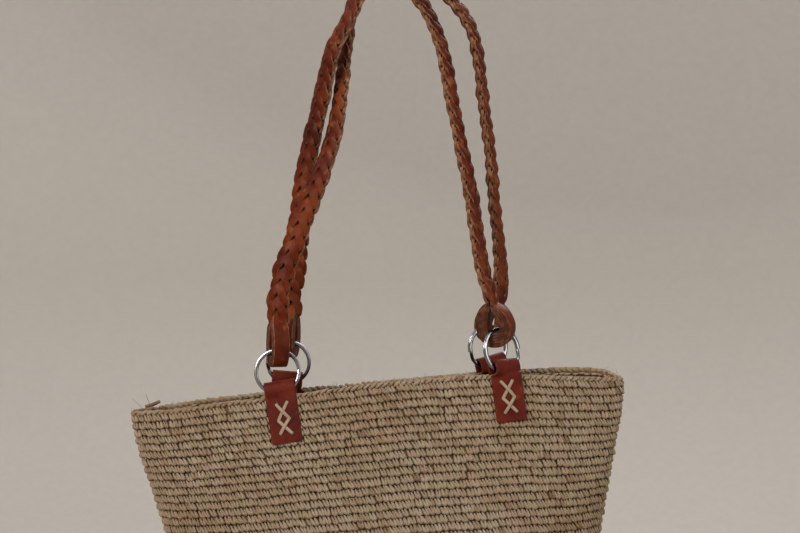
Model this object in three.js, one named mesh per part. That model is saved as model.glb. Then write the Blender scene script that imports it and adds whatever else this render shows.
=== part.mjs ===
// A crocheted straw basket bag that hangs from its two braided leather handles.
// Millimetres, +Z up, +X to the right of the bag's front, which faces -Y.
// The origin is the point under the tops of the handles where the bag hangs.

import * as THREE from "three";

// Basket
const basketHeight = 282;
const rimWidth = 407;
const baseDepth = 128;
const wallThickness = 4.5;
const baseEdgeRadius = 13;
const rimRound = 1.5;
const rimCrown = 12;
const rimBlend = 0.35; // how near the rim's ends its back rises over into its front
const rimDrop = 340; // from the hang point down to the line between the rim's corners
const basketShift = -11;
const basketTilt = 4; // degrees, the right side higher

// Leather tabs
const tabSpacing = 183;
const tabShift = 14.5;
const tabWidth = 25;
const tabLength = 51;
const tabLeather = 2;
const tabBulge = 1.1; // how far the fold swells past the leaves
const tabNeck = 1; // the leaves' straight stretch over the rim
const tabShoulder = 0.6; // where the swell is full, from the neck to the fold's centre
const tabTwistShare = 0.2; // the share of the rise in which the leaves turn to the ring

// Split rings
const ringDiameter = 38;
const ringWireWidth = 3;
const ringWireThickness = 1.5;
const ringCoilGap = 0.25;
const ringCrank = 24; // degrees in which the coil steps to its other side
const ringRest = 2.4; // degrees between the crank and the wire's ends

// End loops of the handles
const loopWidth = 12.7;
const loopBand = 9.5;
const loopHoleWidth = 11;
const loopHoleCorner = 1.5;
const loopCrown = 24.5; // from the loop's top down to the middle of the hole's arch
const loopWaist = 0.66; // the height at which the band narrows, as a share of the loop's

// Braided handles
const braidWidth = 18.5;
const braidThickness = 10.2;
const linkPitch = 12.1;
const chevronDepth = 6;
const hookSpread = 10; // from the middle of the hook to each handle

const clearance = 0.3;
const ringClearance = 0.87;
const tabClearance = 0.7;

// The basket's level sections, from the base to the rim. Height is a share of the basket's
// height, width of the rim's width, depth of the base's depth. Corner is how pointed the
// two ends are, endWall how many walls thick they are.
const basketSections = [
  { height: 0.0, width: 0.685, depth: 1.0, corner: 0.74, endWall: 1.0 },
  { height: 0.2, width: 0.745, depth: 0.97, corner: 0.8, endWall: 1.0 },
  { height: 0.4, width: 0.81, depth: 0.88, corner: 0.92, endWall: 1.1 },
  { height: 0.6, width: 0.875, depth: 0.75, corner: 1.08, endWall: 1.4 },
  { height: 0.8, width: 0.945, depth: 0.6, corner: 1.22, endWall: 1.8 },
  { height: 0.93, width: 0.99, depth: 0.5, corner: 1.32, endWall: 2.2 },
  { height: 1.0, width: 1.0, depth: 0.46, corner: 1.36, endWall: 2.4 },
];

// How far the handles lift the front and the back of the rim, as a share of the rim's crown,
// across half the rim.
const rimLift = [
  { across: -1.0, front: 0.0, back: 0.0 },
  { across: -0.8, front: 0.05, back: 0.3 },
  { across: -0.62, front: 0.34, back: 0.46 },
  { across: -0.4, front: 0.5, back: 0.56 },
  { across: -0.15, front: 0.82, back: 0.66 },
  { across: 0.2, front: 1.0, back: 0.78 },
  { across: 0.45, front: 0.97, back: 0.88 },
  { across: 0.72, front: 0.55, back: 0.86 },
  { across: 0.93, front: 0.12, back: 0.6 },
  { across: 1.0, front: 0.0, back: 0.0 },
];

// The four corners where a tab, a ring and an end loop hang. Reach is a share of half the
// tabs' spacing, rise is the fold's height over the rim as a share of the tab's length,
// lean is the tab's, turn the ring's, skew the loop's against its ring and slide how far the
// loop has run to the right round its ring from the top, in degrees. Loop is the loop's height as a share
// of the tab's length.
const corners = [
  {
    name: "front_left",
    face: "front",
    side: -1,
    reach: 1.0,
    rise: 0.28,
    lean: 5.5,
    turn: 0,
    skew: 18,
    slide: 0,
    loop: 0.8,
  },
  {
    name: "front_right",
    face: "front",
    side: 1,
    reach: 1.0,
    rise: 0.285,
    lean: 3.1,
    turn: 38,
    skew: 23,
    slide: -14,
    loop: 0.68,
  },
  {
    name: "back_left",
    face: "back",
    side: -1,
    reach: 1.0,
    rise: 0.36,
    lean: -8.4,
    turn: 0,
    skew: -10,
    slide: 2,
    loop: 0.8,
  },
  {
    name: "back_right",
    face: "back",
    side: 1,
    reach: 0.92,
    rise: 0.31,
    lean: 6.6,
    turn: 27,
    skew: 24,
    slide: 14,
    loop: 0.68,
  },
];

// Each handle's route as shares of the way from the hook to its two loops: down, across
// and from its own place on the hook to the loop's depth.
const handles = [
  {
    name: "handle_front",
    face: "front",
    left: "front_left",
    right: "front_right",
    hookSide: 1,
    leftLeg: [
      { down: 0.06, across: 0.32, depth: 0.0 },
      { down: 0.15, across: 0.39, depth: 0.0 },
      { down: 0.24, across: 0.42, depth: 0.04 },
      { down: 0.34, across: 0.45, depth: 0.3 },
      { down: 0.47, across: 0.51, depth: 0.62 },
      { down: 0.6, across: 0.64, depth: 0.83 },
      { down: 0.76, across: 0.83, depth: 0.96 },
      { down: 0.88, across: 0.95, depth: 1.0 },
    ],
    rightLeg: [
      { down: 0.06, across: 0.29, depth: 0.03 },
      { down: 0.14, across: 0.44, depth: 0.1 },
      { down: 0.25, across: 0.55, depth: 0.22 },
      { down: 0.38, across: 0.62, depth: 0.38 },
      { down: 0.52, across: 0.71, depth: 0.54 },
      { down: 0.66, across: 0.8, depth: 0.7 },
      { down: 0.8, across: 0.865, depth: 0.84 },
      { down: 0.93, across: 0.94, depth: 0.97 },
    ],
  },
  {
    name: "handle_back",
    face: "back",
    left: "back_left",
    right: "back_right",
    hookSide: -1,
    leftLeg: [
      { down: 0.04, across: 0.26, depth: 0.0 },
      { down: 0.11, across: 0.37, depth: 0.0 },
      { down: 0.22, across: 0.555, depth: 0.02 },
      { down: 0.32, across: 0.645, depth: 0.25 },
      { down: 0.44, across: 0.74, depth: 0.48 },
      { down: 0.57, across: 0.835, depth: 0.6 },
      { down: 0.7, across: 0.89, depth: 0.7 },
      { down: 0.85, across: 0.93, depth: 0.87 },
    ],
    rightLeg: [
      { down: 0.04, across: 0.42, depth: 0.02 },
      { down: 0.1, across: 0.63, depth: 0.07 },
      { down: 0.17, across: 0.75, depth: 0.14 },
      { down: 0.26, across: 0.81, depth: 0.26 },
      { down: 0.4, across: 0.865, depth: 0.48 },
      { down: 0.54, across: 0.925, depth: 0.65 },
      { down: 0.69, across: 0.965, depth: 0.8 },
      { down: 0.85, across: 1.02, depth: 0.94 },
    ],
  },
];

// How each braid's flat face turns along it, as a share of the way from its left loop's turn
// to its right loop's.
const braidTurn = [
  { along: 0.0, front: 0.0, back: 0.0 },
  { along: 0.12, front: 0.1, back: 0.4 },
  { along: 0.2, front: 0.5, back: 0.78 },
  { along: 0.32, front: 1.0, back: 1.0 },
  { along: 0.5, front: 1.08, back: 1.25 },
  { along: 0.7, front: 1.1, back: 1.42 },
  { along: 0.88, front: 1.06, back: 1.36 },
  { along: 1.0, front: 1.0, back: 1.0 },
];

// The swell of the braid along one link.
const linkSwell = [
  { phase: 0.0, swell: 0.82 },
  { phase: 1 / 3, swell: 1.0 },
  { phase: 2 / 3, swell: 0.94 },
];

// The heights of the wall's rows, as shares of the basket's height.
const wallRows = [0.12, 0.22, 0.34, 0.46, 0.58, 0.7, 0.82, 0.92];

const basketSegments = 60;
const braidSides = 8;
const ringSteps = 40;
const arcSteps = 6;
const routeSteps = 800;

const upright = new THREE.Vector3(0, 0, 1);

function radians(degrees) {
  return (degrees * Math.PI) / 180;
}

// A smooth curve through one column of a table.
function readTable(table, key, at, column) {
  const last = table.length - 1;
  let row = 0;
  while (row < last - 1 && at > table[row + 1][key]) {
    row += 1;
  }
  const slope = (index) => {
    const before = table[Math.max(index - 1, 0)];
    const after = table[Math.min(index + 1, last)];
    return (after[column] - before[column]) / (after[key] - before[key]);
  };
  const span = table[row + 1][key] - table[row][key];
  const t = THREE.MathUtils.clamp((at - table[row][key]) / span, 0, 1);
  const rise = table[row + 1][column] - table[row][column];
  const first = slope(row) * span;
  const second = slope(row + 1) * span;
  return (
    table[row][column] +
    t * first +
    t * t * (3 * rise - 2 * first - second) +
    t * t * t * (first + second - 2 * rise)
  );
}

// Moves every vertex of a geometry by a function of its place.
function reshape(geometry, placeOf) {
  const position = geometry.attributes.position;
  const vertex = new THREE.Vector3();
  for (let index = 0; index < position.count; index += 1) {
    vertex.fromBufferAttribute(position, index);
    const place = placeOf(vertex, index);
    position.setXYZ(index, place.x, place.y, place.z);
  }
  geometry.computeVertexNormals();
  return geometry;
}

function material(color, roughness, metalness) {
  return new THREE.MeshStandardMaterial({ color, roughness, metalness });
}

// A point of the basket's wall, measured from the middle of the line between the rim's
// corners. The turn starts at the middle of the front and goes towards the right side.
function wallPoint(height, turn, inset, reach = 1) {
  const read = (column) => readTable(basketSections, "height", height, column);
  const endInset = inset * read("endWall");
  const halfWidth = (read("width") * rimWidth) / 2;
  const halfDepth = (read("depth") * baseDepth) / 2 - inset;
  const swing = Math.cos(turn);
  const x = reach * (halfWidth - endInset) * Math.sin(turn);
  const y = -reach * halfDepth * Math.sign(swing) * Math.abs(swing) ** read("corner");
  const rise = (face) => readTable(rimLift, "across", x / halfWidth, face);
  const facing = THREE.MathUtils.smoothstep(swing, -rimBlend, rimBlend);
  const lift = THREE.MathUtils.lerp(rise("back"), rise("front"), facing);
  const z = basketHeight * (height - 1) + rimCrown * lift * height ** 2;
  return new THREE.Vector3(x, y, z);
}

// The turn at which a level section reaches a given distance across the bag.
function turnAcross(across, height, face) {
  const halfWidth = (readTable(basketSections, "height", height, "width") * rimWidth) / 2;
  const turn = Math.asin(across / (halfWidth - wallThickness));
  return face === "front" ? turn : Math.PI - turn;
}

// The wall's rows, from the middle of the base up the outside, over the rim and down the
// inside to the middle again.
function basketRows() {
  const edge = baseEdgeRadius / basketHeight;
  const floor = wallThickness / basketHeight;
  const chamfer = baseEdgeRadius * (1 - Math.SQRT1_2);
  const brow = 1 - rimRound / basketHeight;
  const outside = wallRows.map((height) => ({ height, reach: 1, inset: 0 }));
  const inside = wallRows.map((height) => ({ height, reach: 1, inset: wallThickness }));
  return [
    { height: 0, reach: 0, inset: 0 },
    { height: 0, reach: 1, inset: baseEdgeRadius },
    { height: chamfer / basketHeight, reach: 1, inset: chamfer },
    { height: edge, reach: 1, inset: 0 },
    ...outside,
    { height: brow, reach: 1, inset: 0 },
    { height: 1, reach: 1, inset: rimRound },
    { height: 1, reach: 1, inset: wallThickness - rimRound },
    { height: brow, reach: 1, inset: wallThickness },
    ...inside.reverse(),
    { height: edge + floor, reach: 1, inset: wallThickness },
    { height: floor, reach: 1, inset: wallThickness + baseEdgeRadius },
    { height: floor, reach: 0, inset: wallThickness + baseEdgeRadius },
  ];
}

// A turned shell, stretched to the basket's oval sections.
function makeBasket() {
  const rows = basketRows();
  const profile = rows.map((row) => new THREE.Vector2(row.reach, row.height));
  const shell = new THREE.LatheGeometry(profile, basketSegments);
  reshape(shell, (vertex, index) => {
    const row = rows[index % rows.length];
    const step = Math.floor(index / rows.length) % basketSegments;
    return wallPoint(row.height, (step / basketSegments) * 2 * Math.PI, row.inset, row.reach);
  });
  return new THREE.Mesh(shell, material(0xb59d78, 0.9, 0));
}

// The frame of a tab: its middle on the rim's edge, across, inwards and up.
function tabFrame(corner) {
  const across = tabShift + (corner.side * corner.reach * tabSpacing) / 2;
  const low = 1 - (tabLength * (1 - corner.rise)) / basketHeight;
  const middle = wallThickness / 2;
  const at = (height, shift) =>
    wallPoint(height, turnAcross(across + shift, height, corner.face), middle);
  const origin = at(1, 0);
  const facing = corner.face === "front" ? 1 : -1;
  const half = (low + 1) / 2;
  const along = at(half, tabWidth / 2).sub(at(half, -tabWidth / 2)).multiplyScalar(facing);
  along.setZ(0).normalize();
  const up = origin.clone().sub(at(low, 0));
  up.setX(0).normalize();
  const inwards = up.clone().cross(along).normalize();
  along.crossVectors(inwards, up).normalize();
  const lean = new THREE.Quaternion().setFromAxisAngle(inwards, -radians(corner.lean) * facing);
  up.applyQuaternion(lean);
  along.applyQuaternion(lean);
  return { origin, along, inwards, up, facing };
}

function frameMatrix({ origin, along, inwards, up }) {
  return new THREE.Matrix4().makeBasis(along, inwards, up).setPosition(origin);
}

// The angle from the bag's width to the tab's width, seen from above, in radians.
function wallTurn({ along, facing }) {
  return Math.atan2(along.y * facing, along.x * facing);
}

// How far the tab turns towards its ring above the rim, in radians.
function tabTwist(corner, frame) {
  return radians(corner.turn) - wallTurn(frame);
}

// The middle of a folded tab's leather, seen from its edge: up one leaf, round the fold,
// which swells round the ring, and down the other leaf.
function tabPath(rise) {
  const leaf = (wallThickness + tabLeather) / 2 + tabClearance;
  const bulb = leaf + tabBulge;
  const foldCentre = rise - bulb - tabLeather / 2;
  const shoulder = THREE.MathUtils.lerp(tabNeck, foldCentre, tabShoulder);
  const front = [
    new THREE.Vector2(-leaf, rise - tabLength),
    new THREE.Vector2(-leaf, 0),
    new THREE.Vector2(-leaf, tabNeck),
    new THREE.Vector2(-bulb, shoulder),
  ];
  const arc = new THREE.Path().absarc(0, foldCentre, bulb, Math.PI, 0, true);
  const fold = arc.getPoints(2 * arcSteps);
  const back = front.map((point) => new THREE.Vector2(-point.x, point.y)).reverse();
  return [...front, ...fold, ...back];
}

// A flat strip, bent along the fold. Above the rim it turns towards its ring.
function makeTab(corner, frame) {
  const rise = corner.rise * tabLength;
  const twist = tabTwist(corner, frame);
  const path = tabPath(rise);
  const last = path.length - 1;
  const strip = new THREE.BoxGeometry(tabWidth, tabLeather, 1, 1, 1, last);
  reshape(strip, (vertex) => {
    const station = Math.round((vertex.z + 0.5) * last);
    const after = path[Math.min(station + 1, last)];
    const before = path[Math.max(station - 1, 0)];
    const along = after.clone().sub(before).normalize();
    const y = path[station].x + along.y * vertex.y;
    const z = path[station].y - along.x * vertex.y;
    const share = THREE.MathUtils.smoothstep(z, tabNeck, tabNeck + rise * tabTwistShare);
    return new THREE.Vector3(vertex.x, y, z).applyAxisAngle(upright, twist * share);
  });
  return new THREE.Mesh(strip, material(0x7d3420, 0.55, 0));
}

// The middle of the ring over the rim, where the fold's ends bear on the wire.
function ringHeight(rise) {
  const inside = ringDiameter / 2 - ringWireWidth;
  const bearing = Math.sqrt(inside ** 2 - (tabWidth / 2) ** 2);
  return rise - tabLeather - ringClearance + bearing;
}

// The route of a split ring's flat wire: a coil of nearly two turns, which steps from one
// side to the other where its ends meet.
class SplitRingCurve extends THREE.Curve {
  getPoint(t, target = new THREE.Vector3()) {
    const crank = radians(ringCrank);
    const rest = radians(ringRest);
    const turn = t * (4 * Math.PI - crank - 2 * rest);
    const radius = (ringDiameter - ringWireWidth) / 2;
    const side = (ringWireThickness + ringCoilGap) / 2;
    const stepEnd = 2 * Math.PI - rest;
    const step = THREE.MathUtils.smoothstep(turn, stepEnd - crank, stepEnd);
    return target.set(radius * Math.cos(turn), side * (2 * step - 1), radius * Math.sin(turn));
  }
}

function makeRing() {
  const width = ringWireWidth / 2;
  const thickness = ringWireThickness / 2;
  const wire = new THREE.Shape([
    new THREE.Vector2(0, -width),
    new THREE.Vector2(thickness, -width / 2),
    new THREE.Vector2(thickness, width / 2),
    new THREE.Vector2(0, width),
    new THREE.Vector2(-thickness, width / 2),
    new THREE.Vector2(-thickness, -width / 2),
  ]);
  const coil = new THREE.ExtrudeGeometry(wire, {
    steps: ringSteps,
    extrudePath: new SplitRingCurve(),
    bevelEnabled: false,
  });
  return new THREE.Mesh(coil, material(0xb9bcc0, 0.3, 1));
}

// The side of an end loop: a band round the hole, which narrows to a neck under the braid.
function loopOutline(height) {
  const neck = braidThickness / 2;
  const half = loopHoleWidth / 2 + loopBand;
  const shoulder = half - loopBand;
  const waist = height * loopWaist;
  const outline = new THREE.Shape();
  outline.moveTo(neck, height - loopBand);
  outline.bezierCurveTo(neck, waist, half, waist, half, shoulder);
  outline.absarc(0, shoulder, half, 0, -Math.PI, true);
  outline.bezierCurveTo(-half, waist, -neck, waist, -neck, height - loopBand);
  outline.closePath();
  const side = loopHoleWidth / 2;
  const corner = loopHoleCorner;
  const top = height - loopCrown;
  const hole = new THREE.Path();
  hole.moveTo(-side + corner, 0);
  hole.lineTo(side - corner, 0);
  hole.absarc(side - corner, corner, corner, -Math.PI / 2, 0, false);
  hole.lineTo(side, top);
  hole.absarc(0, top, side, 0, Math.PI, false);
  hole.lineTo(-side, corner);
  hole.absarc(-side + corner, corner, corner, Math.PI, 1.5 * Math.PI, false);
  outline.holes.push(hole);
  return outline;
}

// An end loop, its hole's lowest edge at the origin and its hole along X.
function makeLoop(corner) {
  const loop = new THREE.ExtrudeGeometry(loopOutline(corner.loop * tabLength), {
    depth: loopWidth,
    steps: 1,
    curveSegments: arcSteps,
    bevelEnabled: false,
  });
  reshape(loop, (vertex) => new THREE.Vector3(vertex.z - loopWidth / 2, vertex.x, vertex.y));
  return new THREE.Mesh(loop, material(0x84402a, 0.6, 0));
}

// How far below the ring's inner top the loop's hole sits, so that the wire clears it.
function loopSeat(skew) {
  const inside = ringDiameter / 2 - ringWireWidth;
  const wire = ringWireThickness + ringCoilGap / 2;
  const reach = (loopWidth / 2 + wire * Math.sin(skew)) / Math.cos(skew);
  return Math.sqrt(inside ** 2 - reach ** 2) - ringClearance;
}

// Where one corner's tab, ring and loop stand, measured from the hang point.
function placeCorner(corner, basketMatrix) {
  const frame = tabFrame(corner);
  const skew = radians(corner.skew);
  const ringMatrix = new THREE.Matrix4()
    .multiplyMatrices(basketMatrix, frameMatrix(frame))
    .multiply(new THREE.Matrix4().makeRotationZ(tabTwist(corner, frame)))
    .multiply(new THREE.Matrix4().makeTranslation(0, 0, ringHeight(corner.rise * tabLength)));
  const flat = new THREE.Vector3().setFromMatrixColumn(ringMatrix, 1);
  const highest = upright.clone().projectOnPlane(flat).normalize();
  const slide = radians(corner.slide) * frame.facing;
  const run = new THREE.Quaternion().setFromAxisAngle(flat, slide);
  const seat = new THREE.Vector3().setFromMatrixPosition(ringMatrix);
  seat.addScaledVector(highest.applyQuaternion(run), loopSeat(skew));
  const loopTurn = radians(corner.turn) + skew;
  const stand = new THREE.Quaternion().setFromAxisAngle(upright, loopTurn).premultiply(run);
  const up = upright.clone().applyQuaternion(stand);
  const top = seat.clone().addScaledVector(up, corner.loop * tabLength - loopBand);
  return { frame, ringMatrix, seat, stand, up, top, loopTurn };
}

// Half the height of the braid where it lies over the hook, its face turned by an angle.
function braidHalfHeight(turn) {
  return Math.hypot((braidWidth / 2) * Math.cos(turn), (braidThickness / 2) * Math.sin(turn));
}

// How far the braid's face has turned from the bag's front, in radians.
function faceTurn(handle, left, right, along) {
  const share = readTable(braidTurn, "along", along, handle.face);
  return THREE.MathUtils.lerp(left.loopTurn, right.loopTurn, share);
}

function handleCurve(handle, left, right) {
  const middleTurn = faceTurn(handle, left, right, 0.5);
  const hook = new THREE.Vector3(0, handle.hookSide * hookSpread, braidHalfHeight(middleTurn));
  const leg = (rows, end) =>
    rows.map(
      (row) =>
        new THREE.Vector3(
          end.x * row.across,
          THREE.MathUtils.lerp(hook.y, end.y, row.depth),
          THREE.MathUtils.lerp(hook.z, end.z, row.down),
        ),
    );
  const over = (place, rise) => place.top.clone().addScaledVector(place.up, rise);
  const start = [over(left, clearance), over(left, clearance + linkPitch)];
  const end = [over(right, clearance + linkPitch), over(right, clearance)];
  const points = [
    ...start,
    ...leg(handle.leftLeg, start[0]).reverse(),
    hook,
    ...leg(handle.rightLeg, end[1]),
    ...end,
  ];
  const curve = new THREE.CatmullRomCurve3(points, false, "centripetal");
  curve.arcLengthDivisions = routeSteps;
  return curve;
}

// A round bar, bent along the handle's route and swelled link by link. Each link is a
// chevron whose arms trail along both edges of the braid.
function makeHandle(handle, left, right) {
  const curve = handleCurve(handle, left, right);
  const length = curve.getLength();
  const links = Math.round(length / linkPitch);
  const steps = links * linkSwell.length;
  const fadeSteps = 2 * linkSwell.length;
  const bar = new THREE.CylinderGeometry(1, 1, 1, braidSides, steps);
  reshape(bar, (vertex) => {
    const step = Math.round((vertex.y + 0.5) * steps);
    const fade = Math.min(1, step / fadeSteps, (steps - step) / fadeSteps);
    const trail = (Math.abs(vertex.x) * chevronDepth * fade) / length;
    const along = THREE.MathUtils.clamp(step / steps - trail, 0, 1);
    const tangent = curve.getTangentAt(along);
    const flat = new THREE.Vector3(0, -1, 0).addScaledVector(tangent, tangent.y).normalize();
    const face = flat.applyAxisAngle(tangent, -faceTurn(handle, left, right, along));
    const across = new THREE.Vector3().crossVectors(tangent, face);
    const swell = linkSwell[step % linkSwell.length].swell;
    return curve
      .getPointAt(along)
      .addScaledVector(across, (vertex.x * swell * braidWidth) / 2)
      .addScaledVector(face, (vertex.z * swell * braidThickness) / 2);
  });
  return new THREE.Mesh(bar, material(0x84402a, 0.6, 0));
}

function named(name, mesh) {
  mesh.name = name;
  return mesh;
}

const bag = new THREE.Group();
const body = new THREE.Group();
body.position.set(basketShift, 0, -rimDrop);
body.rotation.y = -radians(basketTilt);
body.updateMatrixWorld();
body.add(named("basket", makeBasket()));
bag.add(body);

const places = {};
for (const corner of corners) {
  const place = placeCorner(corner, body.matrixWorld);
  places[corner.name] = place;

  const tab = named(`tab_${corner.name}`, makeTab(corner, place.frame));
  tab.applyMatrix4(frameMatrix(place.frame));
  body.add(tab);

  const ring = named(`ring_${corner.name}`, makeRing());
  ring.applyMatrix4(place.ringMatrix);
  bag.add(ring);

  const loop = named(`loop_${corner.name}`, makeLoop(corner));
  loop.position.copy(place.seat);
  loop.quaternion.copy(place.stand);
  bag.add(loop);
}

for (const handle of handles) {
  bag.add(named(handle.name, makeHandle(handle, places[handle.left], places[handle.right])));
}

export default bag;
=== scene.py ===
import math
import random

import bpy
import numpy as np
from mathutils import Matrix, Quaternion, Vector


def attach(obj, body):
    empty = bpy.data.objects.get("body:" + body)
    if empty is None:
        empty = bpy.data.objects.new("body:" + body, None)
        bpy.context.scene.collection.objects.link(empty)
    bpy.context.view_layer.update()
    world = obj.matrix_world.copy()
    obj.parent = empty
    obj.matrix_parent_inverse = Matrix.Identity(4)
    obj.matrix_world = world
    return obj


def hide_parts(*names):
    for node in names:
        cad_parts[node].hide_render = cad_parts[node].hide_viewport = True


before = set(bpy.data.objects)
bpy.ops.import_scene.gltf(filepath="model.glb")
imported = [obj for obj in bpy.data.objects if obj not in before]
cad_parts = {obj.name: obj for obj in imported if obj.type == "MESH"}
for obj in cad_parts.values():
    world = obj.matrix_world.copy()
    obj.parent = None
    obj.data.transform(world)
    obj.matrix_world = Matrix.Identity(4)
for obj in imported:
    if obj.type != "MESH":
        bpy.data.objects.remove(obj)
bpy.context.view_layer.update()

chance = random.Random(31)
dice = np.random.default_rng(47)
mm = 0.001

# sizes shared by all pieces, in millimetres, the same as in the solid model

basketSizes = {
    "height": 282, "rimWidth": 407, "baseDepth": 128, "wall": 4.5, "edgeRadius": 13,
    "crown": 12, "drop": 340, "shift": -11, "tilt": 4,
    # level sections from base to rim: height, width, depth, corner, end wall
    "sections": [
        (0.0, 0.685, 1.0, 0.74, 1.0), (0.2, 0.745, 0.97, 0.8, 1.0), (0.4, 0.81, 0.88, 0.92, 1.1),
        (0.6, 0.875, 0.75, 1.08, 1.4), (0.8, 0.945, 0.6, 1.22, 1.8), (0.93, 0.99, 0.5, 1.32, 2.2),
        (1.0, 1.0, 0.46, 1.36, 2.4),
    ],
    # how far the handles lift the rim's front and back, across half of it
    "lift": [
        (-1.0, 0.0, 0.0), (-0.8, 0.05, 0.3), (-0.62, 0.34, 0.46), (-0.4, 0.5, 0.56),
        (-0.15, 0.82, 0.66), (0.2, 1.0, 0.78), (0.45, 0.97, 0.88), (0.72, 0.55, 0.86),
        (0.93, 0.12, 0.6), (1.0, 0.0, 0.0),
    ],
    "blend": 0.35,
}
tabSizes = {
    "spacing": 183, "shift": 14.5, "width": 25, "length": 51, "leather": 2, "bulge": 1.1,
    "neck": 1, "shoulder": 0.6, "twistShare": 0.2, "clearance": 0.7,
}
ringSizes = {
    "diameter": 38, "wireWidth": 3, "wireThickness": 1.5, "gap": 0.25, "clearance": 0.87,
    "crank": 24, "rest": 2.4,
}
loopSizes = {"width": 12.7, "band": 9.5, "hole": 11, "neckReach": 6}
braidSizes = {"width": 18.5, "thickness": 10.2, "pitch": 12.1, "spread": 10, "clearance": 0.3}
# where a tab, a ring and an end loop hang; angles in degrees
corners = {
    "front_left": {
        "face": 1, "side": -1, "reach": 1.0, "rise": 0.28, "lean": 5.5, "turn": 0, "skew": 18,
        "slide": 0, "loop": 0.8,
    },
    "front_right": {
        "face": 1, "side": 1, "reach": 1.0, "rise": 0.285, "lean": 3.1, "turn": 38, "skew": 23,
        "slide": -14, "loop": 0.68,
    },
    "back_left": {
        "face": -1, "side": -1, "reach": 1.0, "rise": 0.36, "lean": -8.4, "turn": 0, "skew": -10,
        "slide": 2, "loop": 0.8,
    },
    "back_right": {
        "face": -1, "side": 1, "reach": 0.92, "rise": 0.31, "lean": 6.6, "turn": 27, "skew": 24,
        "slide": 14, "loop": 0.68,
    },
}
# the handles' routes as shares of the way from the hook to the loops: down, across, depth
handles = {
    "front": {
        "left": "front_left", "right": "front_right", "hookSide": 1, "turnColumn": 1,
        "leftLeg": [
            (0.06, 0.32, 0.0), (0.15, 0.39, 0.0), (0.24, 0.42, 0.04), (0.34, 0.45, 0.3),
            (0.47, 0.51, 0.62), (0.6, 0.64, 0.83), (0.76, 0.83, 0.96), (0.88, 0.95, 1.0),
        ],
        "rightLeg": [
            (0.06, 0.29, 0.03), (0.14, 0.44, 0.1), (0.25, 0.55, 0.22), (0.38, 0.62, 0.38),
            (0.52, 0.71, 0.54), (0.66, 0.8, 0.7), (0.8, 0.865, 0.84), (0.93, 0.94, 0.97),
        ],
    },
    "back": {
        "left": "back_left", "right": "back_right", "hookSide": -1, "turnColumn": 2,
        "leftLeg": [
            (0.04, 0.26, 0.0), (0.11, 0.37, 0.0), (0.22, 0.555, 0.02), (0.32, 0.645, 0.25),
            (0.44, 0.74, 0.48), (0.57, 0.835, 0.6), (0.7, 0.89, 0.7), (0.85, 0.93, 0.87),
        ],
        "rightLeg": [
            (0.04, 0.42, 0.02), (0.1, 0.63, 0.07), (0.17, 0.75, 0.14), (0.26, 0.81, 0.26),
            (0.4, 0.865, 0.48), (0.54, 0.925, 0.65), (0.69, 0.965, 0.8), (0.85, 1.02, 0.94),
        ],
    },
}
# how the front and back braid's face turns along it, from its left loop's turn to its right's
braidTurn = [
    (0.0, 0.0, 0.0), (0.12, 0.1, 0.4), (0.2, 0.5, 0.78), (0.32, 1.0, 1.0), (0.5, 1.08, 1.25),
    (0.7, 1.1, 1.42), (0.88, 1.06, 1.36), (1.0, 1.0, 1.0),
]


# reading tables and routes

def readTable(table, at, column):
    # a smooth curve through one column of a table, whose first column is the key
    keys = np.array([row[0] for row in table], float)
    values = np.array([row[column] for row in table], float)
    last = len(keys) - 1
    before = np.maximum(np.arange(last + 1) - 1, 0)
    after = np.minimum(np.arange(last + 1) + 1, last)
    slopes = (values[after] - values[before]) / (keys[after] - keys[before])
    at = np.asarray(at, float)
    row = np.clip(np.searchsorted(keys[1:], at, side="left"), 0, last - 1)
    span = keys[row + 1] - keys[row]
    t = np.clip((at - keys[row]) / span, 0, 1)
    rise = values[row + 1] - values[row]
    first = slopes[row] * span
    second = slopes[row + 1] * span
    return (
        values[row] + t * first + t ** 2 * (3 * rise - 2 * first - second)
        + t ** 3 * (first + second - 2 * rise)
    )


def wallPoint(height, turn, inset, inBody=False):
    # a point of the basket's wall in millimetres; the turn starts at the middle of the front
    sizes = basketSizes
    sections = sizes["sections"]
    endInset = inset * readTable(sections, height, 4)
    halfWidth = readTable(sections, height, 1) * sizes["rimWidth"] / 2
    halfDepth = readTable(sections, height, 2) * sizes["baseDepth"] / 2 - inset
    swing = np.cos(turn)
    x = (halfWidth - endInset) * np.sin(turn)
    y = -halfDepth * np.sign(swing) * np.abs(swing) ** readTable(sections, height, 3)
    front, back = [readTable(sizes["lift"], x / halfWidth, column) for column in (1, 2)]
    facing = np.clip((swing / sizes["blend"] + 1) / 2, 0, 1)
    lift = back + (front - back) * facing ** 2 * (3 - 2 * facing)
    z = sizes["height"] * (height - 1) + sizes["crown"] * lift * height ** 2
    point = np.stack(np.broadcast_arrays(x, y, z), axis=-1)
    return point if inBody else hangBasket(point)


def hangBasket(point):
    # from the basket's own frame to the hanging bag
    tilt = -math.radians(basketSizes["tilt"])
    x = point[..., 0] * math.cos(tilt) + point[..., 2] * math.sin(tilt) + basketSizes["shift"]
    z = -point[..., 0] * math.sin(tilt) + point[..., 2] * math.cos(tilt) - basketSizes["drop"]
    return np.stack([x, point[..., 1], z], axis=-1)


basketMatrix = (
    Matrix.Translation((basketSizes["shift"], 0, -basketSizes["drop"]))
    @ Matrix.Rotation(-math.radians(basketSizes["tilt"]), 4, "Y")
)


def smoothLine(points, count, closed=False):
    # evenly spaced places on a smooth line through the points
    points = np.array(points, float)
    total = len(points) if closed else len(points) - 1
    at = np.linspace(0, total, count, endpoint=not closed)
    index = np.minimum(at.astype(int), total - 1)
    t = (at - index)[:, None]

    def pick(shift):
        if closed:
            return points[(index + shift) % len(points)]
        return points[np.clip(index + shift, 0, len(points) - 1)]

    a, b, c, d = pick(-1), pick(0), pick(1), pick(2)
    return b + 0.5 * t * (c - a + t * (2 * a - 5 * b + 4 * c - d + t * (3 * (b - c) + d - a)))


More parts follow.
